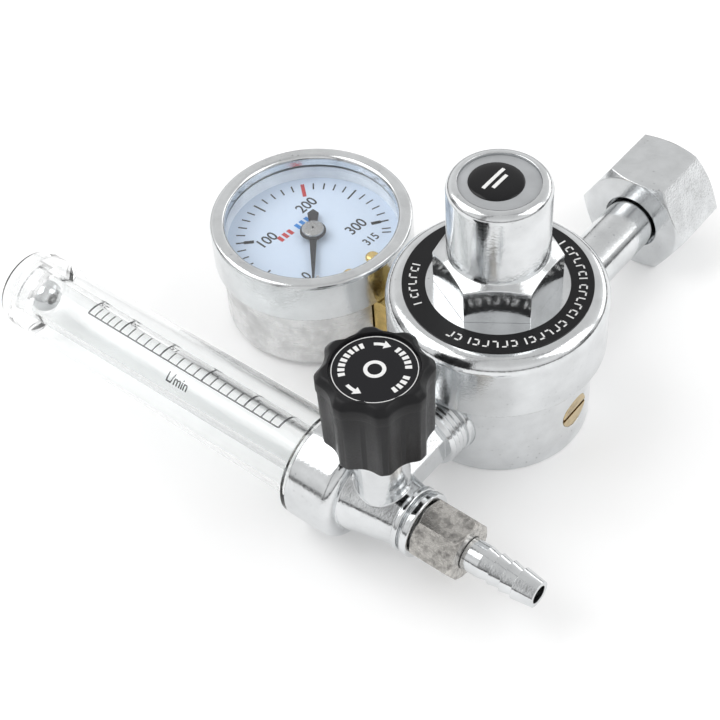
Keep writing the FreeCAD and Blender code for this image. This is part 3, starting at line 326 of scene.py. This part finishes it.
NODE_FINISH = {
    "plated_body": ("regulator_body", "bonnet_ring"),
    "plated_cover": ("spring_cover",),
    "plated_stem": ("inlet_stem",),
    "plated_nut": ("inlet_nut",),
    "plated_block": ("flow_block",),
    "plated_arm": ("outlet_fitting",),
    "plated_barb": ("hose_barb",),
    "bezel": ("gauge_bezel",),
    "case": ("gauge_case",),
    "nickel": ("outlet_nut", "gland_nut"),
    "brass": ("gauge_socket", "dial_screws", "movement_frame", "sector_gear", "bourdon_tube", "valve_nozzle",
              "valve_poppet", "valve_spindle", "adjusting_screw"),
    "pale_brass": ("relief_plug",),
    "bronze": ("inlet_filter",),
    "steel": ("diaphragm_plate", "spring_button", "zero_stop", "knob_screw"),
    "spring": ("main_spring", "poppet_spring", "relief_spring"),
    "ball": ("float_ball",),
    "label": ("label_ring",),
    "grey_disc": ("cap_disc",),
    "badge": ("cap_badge",),
    "knob": ("flow_knob",),
    "knob_print": ("knob_label",),
    "rubber": ("diaphragm", "relief_poppet", "inlet_seal", "tube_seal"),
    "nylon": ("slip_ring", "gauge_seal", "outlet_seal", "float_seat"),
    "pale": ("dial_spacer",),
    "dial": ("gauge_dial",),
    "black_ink": ("gauge_pointer",),
    "glass": ("gauge_glass",),
    "acrylic": ("outer_tube", "inner_tube", "tube_plug"),
}


def paint_nodes():
    """Give every CAD node its finish."""
    for finish, nodes in NODE_FINISH.items():
        for node in nodes:
            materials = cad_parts[node].data.materials
            materials.clear()
            materials.append(FINISHES[finish].material)


# ---------------------------------------------------------------- pieces
CREASE = math.radians(38)


def piece(name, mesh, finish, body, replaced=()):
    """A finished piece made from a bmesh, riding on a CAD body."""
    data = bpy.data.meshes.new(name)
    bmesh.ops.recalc_face_normals(mesh, faces=mesh.faces)
    mesh.to_mesh(data)
    mesh.free()
    thing = bpy.data.objects.new(name, data)
    SCENE.collection.objects.link(thing)
    data.materials.append(FINISHES[finish].material)
    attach(thing, body)
    if replaced:
        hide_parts(*replaced)
    return thing


def smooth(thing):
    """Shade smooth, but keep every corner sharper than CREASE crisp."""
    thing.data.shade_smooth()
    split = thing.modifiers.new("edges", "EDGE_SPLIT")
    split.split_angle = CREASE


def turned_piece(name, place, axis, outline, finish, body, replaced=(), around=48):
    """A piece turned about an axis from its (radius, height) outline in millimetres."""
    upright = axis.to_track_quat("Z", "Y").to_matrix()
    mesh = bmesh.new()
    rings = []
    for radius, height in outline:
        ring = []
        for j in range(around if radius else 1):
            angle = 2 * math.pi * j / around
            spot = Vector((radius * math.cos(angle), radius * math.sin(angle), height)) * MM
            ring.append(mesh.verts.new(place + upright @ spot))
        rings.append(ring)
    for first, second in zip(rings, rings[1:]):
        for j in range(around):
            k = (j + 1) % around
            corners = [first[j % len(first)], first[k % len(first)], second[k % len(second)],
                       second[j % len(second)]]
            mesh.faces.new(list(dict.fromkeys(corners)))
    smooth(piece(name, mesh, finish, body, replaced))


class Ink:
    """Flat marks drawn in millimetres on a surface laid out flat, then laid on it as a thin film."""

    FILM = 0.04 * MM
    LONGEST = 0.7
    FONT_SIZE = 1.38
    WEIGHT = 0.016
    NARROWING = 0.86

    def __init__(self, lay):
        self.lay = lay
        self.mesh = bmesh.new()

    def shape(self, corners):
        """One filled polygon from its (right, up) corners."""
        self.mesh.faces.new([self.mesh.verts.new((*corner, 0)) for corner in corners])

    def bar(self, start, end, width):
        """A straight stroke."""
        start, end = Vector(start), Vector(end)
        side = (end - start).orthogonal().normalized() * width / 2
        self.shape([start - side, end - side, end + side, start + side])

    def arc(self, radius, width, first, last):
        """A stroke round the middle, with angles in degrees clockwise from straight up."""
        steps = max(2, int(abs(last - first) / 4))
        angles = [math.radians(first + (last - first) * i / steps) for i in range(steps + 1)]
        for a, b in zip(angles, angles[1:]):
            rims = [(radius - width / 2, a), (radius + width / 2, a), (radius + width / 2, b),
                    (radius - width / 2, b)]
            self.shape([(r * math.sin(t), r * math.cos(t)) for r, t in rims])

    def letters(self, text, height, at, turn=0.0):
        """Upright generic characters, such as a scale's numbers, centred on a point."""
        curve = bpy.data.curves.new("letters", "FONT")
        curve.body = text
        curve.size = height * self.FONT_SIZE
        curve.offset = height * self.WEIGHT
        curve.align_x = "CENTER"
        curve.align_y = "CENTER"
        writer = bpy.data.objects.new("letters", curve)
        SCENE.collection.objects.link(writer)
        depsgraph = bpy.context.evaluated_depsgraph_get()
        drawn = bpy.data.meshes.new_from_object(writer.evaluated_get(depsgraph))
        narrow = Matrix.Diagonal((self.NARROWING, 1.0, 1.0, 1.0))
        drawn.transform(Matrix.Translation((*at, 0)) @ Matrix.Rotation(-math.radians(turn), 4, "Z") @ narrow)
        self.mesh.from_mesh(drawn)
        bpy.data.objects.remove(writer)
        bpy.data.curves.remove(curve)
        bpy.data.meshes.remove(drawn)

    def piece(self, name, finish, body, slot):
        """Cut the marks fine, lay them on the surface and give them a film's thickness."""
        mesh = self.mesh
        bmesh.ops.remove_doubles(mesh, verts=mesh.verts, dist=1e-5)
        for _ in range(5):
            long_edges = [edge for edge in mesh.edges if edge.calc_length() > self.LONGEST]
            if not long_edges:
                break
            bmesh.ops.subdivide_edges(mesh, edges=long_edges, cuts=1)
            bmesh.ops.triangulate(mesh, faces=mesh.faces)
        inner = {vert: Vector(self.lay(vert.co.x, vert.co.y, 0.0)) for vert in mesh.verts}
        outer = {vert: Vector(self.lay(vert.co.x, vert.co.y, self.FILM)) for vert in mesh.verts}
        film = bmesh.new()
        low = {vert: film.verts.new(place) for vert, place in inner.items()}
        high = {vert: film.verts.new(place) for vert, place in outer.items()}
        for face in mesh.faces:
            film.faces.new([high[vert] for vert in face.verts])
            film.faces.new([low[vert] for vert in reversed(face.verts)])
        for edge in mesh.edges:
            if len(edge.link_faces) == 1:
                a, b = edge.verts
                film.faces.new([low[a], low[b], high[b], high[a]])
        mesh.free()
        return piece(name, film, finish, body)


# ---------------------------------------------------------------- gauge dial
DIAL_TURN = math.radians(5)
FULL_SCALE = 315
SWEEP = 270
DIAL_RING = 23.2
RED_VALUE = 200
THICK_VALUES = (0, 100, 300)
FINE_STROKE, FIFTY_STROKE, THICK_STROKE = 0.46, 0.55, 1.2
FINE_LENGTH, FIFTY_LENGTH = 2.7, 4.6

# Each number on the dial: its value, degrees past its mark, radius and height in millimetres.
DIAL_NUMBERS = (
    (0, 7, 16.8, 3.4),
    (100, 0, 13.9, 3.9),
    (200, 0, 13.6, 3.9),
    (300, 0, 13.2, 3.9),
    (FULL_SCALE, 9, 17.4, 3.0),
)

# Outlines of the hub's pieces: radius, and height above the pointer, in millimetres.
HUB_RING = ((0, -0.9), (3.9, -0.9), (3.9, -0.5), (3.7, -0.35), (0, -0.35))
HUB_CAP = ((0, -0.3), (3.35, -0.3), (3.35, 0.1), (3.2, 0.32), (2.7, 0.46), (1.4, 0.58), (0, 0.62))
HUB_DOT = ((0, 0.5), (0.34, 0.5), (0.34, 0.72), (0.2, 0.8), (0, 0.8))


def lay_on_dial(right, up, lift):
    """The dial's up points away from the body and its right to the inlet, less a small turn."""
    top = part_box("gauge_dial")[1].z
    flat = Matrix.Rotation(-DIAL_TURN, 3, "Z") @ Vector((-up, right, 0)) * MM
    return GAUGE_CENTRE.x + flat.x, flat.y, top + lift


def clock(value):
    """A dial value's angle in degrees clockwise from straight up."""
    return SWEEP * value / FULL_SCALE - SWEEP / 2


def radial(ink, angle, inside, outside, width):
    """A stroke that points at the dial's middle."""
    turn = math.radians(angle)
    way = Vector((math.sin(turn), math.cos(turn)))
    ink.bar(way * inside, way * outside, width)


def dashes(ink, start, count):
    """A row of short upright blocks where the gas names stand."""
    height, half, pitch, width = 6.4, 1.2, 2.0, 1.25
    for i in range(count):
        right = start + pitch * i
        ink.bar((right, height - half), (right, height + half), width)


def build_hub():
    """The bright domed cap over the pointer's hub, with a dark ring under it and a centre dot."""
    place = Vector((GAUGE_CENTRE.x, GAUGE_CENTRE.y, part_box("gauge_pointer")[1].z))
    for name, outline, finish in (
        ("hub_ring", HUB_RING, "black_ink"), ("hub_cap", HUB_CAP, "hub"), ("hub_dot", HUB_DOT, "black_ink"),
    ):
        turned_piece(name, place, Z_AXIS, outline, finish, "pointer")


def print_dial():
    """The scale of marks and numbers, a red mark at RED_VALUE, and the rows of blocks."""
    ring = DIAL_RING
    black = Ink(lay_on_dial)
    for value in range(0, FULL_SCALE, 10):
        if value == RED_VALUE:
            continue
        half_hundred = value % 50 == 0
        inside = ring - (FIFTY_LENGTH if half_hundred else FINE_LENGTH)
        radial(black, clock(value), inside, ring, FIFTY_STROKE if half_hundred else FINE_STROKE)
        if value in THICK_VALUES:
            radial(black, clock(value), ring - 5.4, ring - 2.4, THICK_STROKE)
    radial(black, clock(FULL_SCALE), ring - FINE_LENGTH, ring, FINE_STROKE)
    for value, past, radius, height in DIAL_NUMBERS:
        angle = math.radians(clock(value) + past)
        black.letters(str(value), height, (radius * math.sin(angle), radius * math.cos(angle)))
    black.piece("dial_marks", "black_ink", "regulator", "dial")
    red = Ink(lay_on_dial)
    radial(red, clock(RED_VALUE), ring - 5.6, ring, 1.15)
    dashes(red, -7.4, 3)
    red.piece("dial_red", "red_ink", "regulator", "dial")
    blue = Ink(lay_on_dial)
    dashes(blue, -0.2, 4)
    blue.piece("dial_blue", "blue_ink", "regulator", "dial")


# ---------------------------------------------------------------- flow scale
TUBE_RADIUS = reach("inner_tube", 2)
SCALE_START = 27.0
SCALE_STEP = 3.15
FINE_STEP = 2.5
SCALE_LINE = math.radians(13)
SCALE_MAJORS = (1, 5, 10, 15, 20, 25)
SCALE_GAP = 0.02 * MM
FINE_LINE, MAJOR_LINE = 0.4, 0.55


def lay_on_tube(right, up, lift):
    """Along the inner tube away from the block, and round it from its top towards the front."""
    radius = TUBE_RADIUS + lift + SCALE_GAP
    angle = SCALE_LINE + up * MM / TUBE_RADIUS
    return -right * MM, FLOW_CENTRE.y - radius * math.sin(angle), FLOW_CENTRE.z + radius * math.cos(angle)


def build_tube():
    """The outer tube and the ring that centres the inner tube in its far end, seen as one clear piece."""
    low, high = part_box("outer_tube")
    ring_start = (high.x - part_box("tube_plug")[1].x) / MM
    bore_end = (high.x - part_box("tube_plug")[0].x) / MM
    end = (high.x - low.x) / MM
    collar = reach("outer_tube", 1) / MM
    collar_step, taper, wall = 3.0, 0.7, 1.8
    lip, lip_depth, play = 8.4, 1.8, 0.05
    foot = collar - collar_step
    tip = foot - taper
    bore = foot - wall
    centring = TUBE_RADIUS / MM + play
    outline = (
        (0, end), (tip - 1.6, end), (tip - 0.5, end - 0.45), (tip, end - 1.6), (foot, lip + lip_depth),
        (collar - 0.4, lip + lip_depth), (collar, lip + 1.4), (collar, lip), (foot, lip), (foot, 0),
        (bore, 0), (bore, ring_start), (centring, ring_start), (centring, bore_end), (0, bore_end),
    )
    place = Vector((high.x, FLOW_CENTRE.y, FLOW_CENTRE.z))
    turned_piece("clear_tube", place, -X_AXIS, outline, "acrylic", "regulator",
                 replaced=("outer_tube", "tube_plug"), around=128)


def station(flow):
    """Where a flow in litres a minute stands along the tube; the top of the scale is closer spaced."""
    return SCALE_START + SCALE_STEP * min(flow, 20) + FINE_STEP * max(flow - 20, 0)


def print_scale():
    """A line along the inner tube with a mark for each litre a minute, longer and numbered at the majors."""
    ink = Ink(lay_on_tube)
    least, most = SCALE_MAJORS[0], SCALE_MAJORS[-1]
    ink.bar((station(least), 0), (station(most), 0), FINE_LINE)
    for flow in range(least, most + 1):
        major = flow in SCALE_MAJORS
        mark_end = -6.4 if major else -3.6
        ink.bar((station(flow), 0), (station(flow), mark_end), MAJOR_LINE if major else FINE_LINE)
        if major:
            ink.letters(str(flow), 2.5, (station(flow), -8.2))
    ink.letters("L/min", 3.0, (station(12), 3.6), turn=180)
    ink.piece("flow_scale", "black_ink", "regulator", "clear")


# ---------------------------------------------------------------- label, badge and knob disc
LABEL_LINES = ((-58, -14), (104, 272))


def lay_on_label(right, up, lift):
    """The label's up points to the gauge and its right to the cylinder nut."""
    return -up * MM, right * MM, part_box("label_ring")[1].z + lift


def print_label():
    """White marks round the black ring that stand for a line of print: uprights with short caps."""
    ink = Ink(lay_on_label)
    low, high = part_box("label_ring")
    row = 0.885 * (high.x - low.x) / 2 / MM
    tall, stroke, pitch = 2.3, 0.45, 6.2
    for start, end in LABEL_LINES:
        for i in range(int((end - start) / pitch)):
            angle = start + pitch * i
            ink.arc(row, tall, angle, angle + 1.1)
            if i % 3:
                ink.arc(row + (tall - stroke) / 2, stroke, angle, angle + 4.0)
            if i % 2:
                ink.arc(row - (tall - stroke) / 2, stroke, angle, angle + 4.0)
    ink.piece("label_marks", "white_ink", "regulator", "label")


BADGE_RADIUS = reach("cap_badge", 0)
BADGE_DOME = 0.75 * MM


def dome_height(distance):
    """Height of the domed badge at a distance from its middle."""
    share = min(distance / BADGE_RADIUS, 1.0)
    return BADGE_DOME * math.sqrt(max(0.0, 1.0 - share ** 3))


def build_badge():
    """The domed badge on the cap, with two plain bars on it."""
    centre = middle("cap_badge")
    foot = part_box("cap_badge")[0].z
    rings, around = 14, 72
    mesh = bmesh.new()
    top = mesh.verts.new((centre.x, centre.y, foot + BADGE_DOME))
    rows = []
    for i in range(1, rings + 1):
        distance = BADGE_RADIUS * math.sin(math.pi / 2 * i / rings)
        rows.append([mesh.verts.new((centre.x + distance * math.cos(2 * math.pi * j / around),
                                     centre.y + distance * math.sin(2 * math.pi * j / around),
                                     foot + dome_height(distance))) for j in range(around)])
    for j in range(around):
        k = (j + 1) % around
        mesh.faces.new([top, rows[0][j], rows[0][k]])
        for inner, outer in zip(rows, rows[1:]):
            mesh.faces.new([inner[j], outer[j], outer[k], inner[k]])
    mesh.faces.new(rows[-1])
    for face in mesh.faces:
        face.smooth = len(face.verts) < around
    piece("badge_dome", mesh, "badge", "regulator", replaced=("cap_badge",))

    def lay_on_badge(right, up, lift):
        distance = math.hypot(right, up) * MM
        return centre.x - up * MM, centre.y + right * MM, foot + dome_height(distance) + lift

    ink = Ink(lay_on_badge)
    ink.bar((-4.6, 0.9), (4.6, 0.9), 1.0)
    ink.bar((-3.0, -1.1), (3.0, -1.1), 1.0)
    ink.piece("badge_marks", "white_ink", "regulator", "badge")


KNOB_CENTRE = middle("flow_knob")
KNOB_RADIUS = 14.9 * MM
LOBES = 8


def lay_on_knob(right, up, lift):
    """The knob disc's up points to the gauge and its right to the cylinder nut."""
    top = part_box("knob_label")[1].z
    return KNOB_CENTRE.x - up * MM, KNOB_CENTRE.y + right * MM, top + lift


def print_knob():
    """A thin white ring, an arrow each way, rows of dashes round it and a small ring in the middle."""
    ink = Ink(lay_on_knob)
    rim, row, half_head = 10.6, 8.2, 1.3
    head_sweep, dash_pitch, dash_sweep = 13, 11, 7
    ink.arc(rim, 0.22, 0, 360)
    for start, end in ((-74, -92), (50, 68)):
        ink.arc(row, 0.9, start, end)
        turn = 1 if end > start else -1
        tip = math.radians(end + head_sweep * turn)
        root = math.radians(end)
        head = [(row, tip), (row + half_head, root), (row - half_head, root)]
        ink.shape([(radius * math.sin(angle), radius * math.cos(angle)) for radius, angle in head][::turn])
    ink.arc(2.3, 1.0, 0, 360)
    for first, count in ((-52, 4), (-8, 4), (92, 5), (160, 4)):
        for i in range(count):
            dash = first + dash_pitch * i
            ink.arc(row, 1.7, dash, dash + dash_sweep)
    ink.piece("knob_marks", "white_ink", "knob", "knob_print")


def lobed_radius(angle):
    """Radius of the knob's fluted outline, with soft corners between lobe and flute."""
    flute, ring, soft = 8.0 * MM, 21.2 * MM, 1.0 * MM
    step = 2 * math.pi / LOBES
    off = (angle % step) - step / 2
    inside = flute ** 2 - (ring * math.sin(off)) ** 2
    if inside <= 0:
        return KNOB_RADIUS
    hollow = ring * math.cos(off) - math.sqrt(inside)
    share = max(soft - abs(hollow - KNOB_RADIUS), 0) / soft
    return min(hollow, KNOB_RADIUS) - share ** 2 * soft / 4


def build_knob():
    """The fluted knob: its lobed outside, then the recess for its disc, the screw well and the skirt."""
    low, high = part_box("flow_knob")
    disc_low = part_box("knob_label")[0].z
    disc = reach("knob_label", 0) + 0.05 * MM
    shoulder = high.z - 5.2 * MM
    outside = [
        (0.95 * MM, low.z), (0.7 * MM, low.z + 0.3 * MM), (0.28 * MM, shoulder - 0.15 * MM),
        (0.28 * MM, shoulder), (0.04 * MM, shoulder + 0.12 * MM), (0.0, shoulder + 0.5 * MM),
        (0.0, high.z - 2.1 * MM), (0.12 * MM, high.z - 1.65 * MM), (1.35 * MM, high.z - 0.35 * MM),
        (1.65 * MM, high.z - 0.1 * MM), (2.05 * MM, high.z),
    ]
    well, bore, skirt = 4.0 * MM, 2.95 * MM, 9.2 * MM
    well_foot = disc_low - 4.3 * MM
    web_foot = disc_low - 7.3 * MM
    inside = [
        (disc + 0.5 * MM, high.z), (disc + 0.15 * MM, high.z - 0.12 * MM), (disc, high.z - 0.5 * MM),
        (disc, disc_low), (well, disc_low), (well, well_foot), (bore, well_foot), (bore, web_foot),
        (skirt, web_foot), (skirt, low.z + 0.3 * MM), (9.5 * MM, low.z),
    ]
    around = LOBES * 24
    mesh = bmesh.new()
    rows = []
    for inset, height in outside:
        rows.append([(lobed_radius(2 * math.pi * j / around) - inset, height) for j in range(around)])
    for radius, height in inside:
        rows.append([(radius, height)] * around)
    rings = []
    for row in rows:
        ring = []
        for j, (radius, height) in enumerate(row):
            angle = 2 * math.pi * j / around
            ring.append(mesh.verts.new((KNOB_CENTRE.x + radius * math.cos(angle),
                                        KNOB_CENTRE.y + radius * math.sin(angle), height)))
        rings.append(ring)
    for first, second in zip(rings, rings[1:] + rings[:1]):
        for j in range(around):
            k = (j + 1) % around
            mesh.faces.new([first[j], first[k], second[k], second[j]])
    smooth(piece("knob_grip", mesh, "knob", "knob", replaced=("flow_knob",)))


# ---------------------------------------------------------------- studio
def build_floor():
    """A round sheet of white paper."""
    mesh = bmesh.new()
    bmesh.ops.create_circle(mesh, cap_ends=True, radius=2.2, segments=96)
    data = bpy.data.meshes.new("floor")
    mesh.to_mesh(data)
    mesh.free()
    floor = bpy.data.objects.new("floor", data)
    SCENE.collection.objects.link(floor)
    paper = Finish("paper", (0.95, 0.95, 0.95), roughness=0.9)
    fibres = paper.noise(60, detail=4)
    paper.set("Base Color", paper.blend(fibres, (0.95, 0.95, 0.95), (0.935, 0.935, 0.935)))
    paper.set("Specular IOR Level", 0.1)
    paper.set("Emission Color", (1.0, 1.0, 1.0, 1.0))
    paper.set("Emission Strength", 0.12)
    data.materials.append(paper.material)


def add_lamp(name, place, target, size, watts):
    """A rectangular area lamp that faces a point."""
    lamp = bpy.data.lights.new(name, "AREA")
    lamp.shape = "RECTANGLE"
    lamp.size, lamp.size_y = size
    lamp.energy = watts
    thing = bpy.data.objects.new(name, lamp)
    thing.location = place
    thing.rotation_euler = (Vector(target) - Vector(place)).to_track_quat("-Z", "Y").to_euler()
    SCENE.collection.objects.link(thing)


# Brightness by height, from straight down to straight up, with a dark band just above the horizon.
HEIGHT_BANDS = (
    (0.0, 1.0), (0.49, 1.0), (0.505, 0.12), (0.54, 0.10), (0.57, 0.75), (0.70, 0.95), (0.82, 0.8),
    (0.92, 0.72), (1.0, 0.7),
)
# Brightness by direction once round the horizon, with three narrow darker streaks.
STREAK_BANDS = (
    (0.0, 1.0), (0.04, 1.0), (0.055, 0.3), (0.075, 0.3), (0.09, 1.0), (0.24, 1.0), (0.25, 0.35),
    (0.265, 0.35), (0.275, 1.0), (0.56, 1.0), (0.575, 0.3), (0.60, 0.3), (0.62, 1.0), (1.0, 1.0),
)
PALER_SHARE = 0.6
ROOM_STRENGTH = 0.95


def build_world():
    """A pale room: bright above, with the narrow dark band and streaks that metal mirrors as lines."""
    world = bpy.data.worlds.new("studio")
    SCENE.world = world
    world.use_nodes = True
    nodes, links = world.node_tree.nodes, world.node_tree.links
    background = nodes["Background"]
    place = nodes.new("ShaderNodeTexCoord")
    split = nodes.new("ShaderNodeSeparateXYZ")
    links.new(place.outputs["Generated"], split.inputs[0])
    lift = nodes.new("ShaderNodeMapRange")
    lift.inputs["From Min"].default_value = -1.0
    links.new(split.outputs["Z"], lift.inputs["Value"])
    radial_sweep = nodes.new("ShaderNodeTexGradient")
    radial_sweep.gradient_type = "RADIAL"
    links.new(place.outputs["Generated"], radial_sweep.inputs["Vector"])

    def ramp(source, bands):
        """Grey levels from (position, value) bands."""
        node = nodes.new("ShaderNodeValToRGB")
        links.new(source, node.inputs["Fac"])
        elements = node.color_ramp.elements
        while len(elements) < len(bands):
            elements.new(0.5)
        for element, (position, value) in zip(elements, bands):
            element.position = position
            element.color = (value, value, value, 1.0)
        return node.outputs["Color"]

    heights = ramp(lift.outputs["Result"], HEIGHT_BANDS)
    streaks = ramp(radial_sweep.outputs["Fac"], STREAK_BANDS)
    product = nodes.new("ShaderNodeMix")
    product.data_type = "RGBA"
    product.blend_type = "MULTIPLY"
    product.inputs[0].default_value = 1.0
    links.new(heights, product.inputs[6])
    links.new(streaks, product.inputs[7])
    seen = nodes.new("ShaderNodeLightPath")
    paler = nodes.new("ShaderNodeMix")
    paler.data_type = "RGBA"
    paler.inputs[0].default_value = PALER_SHARE
    links.new(product.outputs[2], paler.inputs[6])
    paler.inputs[7].default_value = (1.0, 1.0, 1.0, 1.0)
    through = nodes.new("ShaderNodeMix")
    through.data_type = "RGBA"
    links.new(seen.outputs["Is Transmission Ray"], through.inputs[0])
    links.new(product.outputs[2], through.inputs[6])
    links.new(paler.outputs[2], through.inputs[7])
    links.new(through.outputs[2], background.inputs["Color"])
    background.inputs["Strength"].default_value = ROOM_STRENGTH


def build_lights():
    """Three soft lamps: the main one from the flow tube's side, one opposite and a low one behind."""
    target = (-0.02, -0.01, 0.03)
    add_lamp("key", (-0.65, -0.35, 0.95), target, (0.9, 0.9), 5.2)
    add_lamp("fill", (0.75, 0.40, 0.80), target, (0.7, 0.9), 3.0)
    add_lamp("back", (0.25, 0.95, 0.35), target, (0.8, 0.3), 0.8)


# Azimuth, elevation and roll in degrees, and the camera's place in millimetres.
CAMERA_ANGLES = (38.37, 48.5, -1.75)
CAMERA_PLACE = (171.4, -247.0, 356.6)


def build_camera():
    """A long lens above the hose barb's corner, looking down at the whole object."""
    azimuth, elevation, roll = (math.radians(angle) for angle in CAMERA_ANGLES)
    back = Vector((math.sin(azimuth) * math.cos(elevation), -math.cos(azimuth) * math.cos(elevation),
                   math.sin(elevation)))
    level = Vector((math.cos(azimuth), math.sin(azimuth), 0))
    upright = back.cross(level)
    right = math.cos(roll) * level + math.sin(roll) * upright
    up = math.cos(roll) * upright - math.sin(roll) * level
    data = bpy.data.cameras.new("camera")
    data.sensor_width = 36
    data.lens = 79.1
    data.shift_x = -0.098
    camera = bpy.data.objects.new("camera", data)
    place = Vector(CAMERA_PLACE) * MM
    camera.matrix_world = Matrix.Translation(place) @ Matrix((right, up, back)).transposed().to_4x4()
    SCENE.collection.objects.link(camera)
    SCENE.camera = camera


paint_nodes()
print_dial()
build_hub()
build_tube()
print_scale()
print_label()
build_badge()
build_knob()
print_knob()
build_floor()
build_world()
build_lights()
build_camera()
SCENE.view_settings.view_transform = "Standard"
bpy.context.view_layer.update()
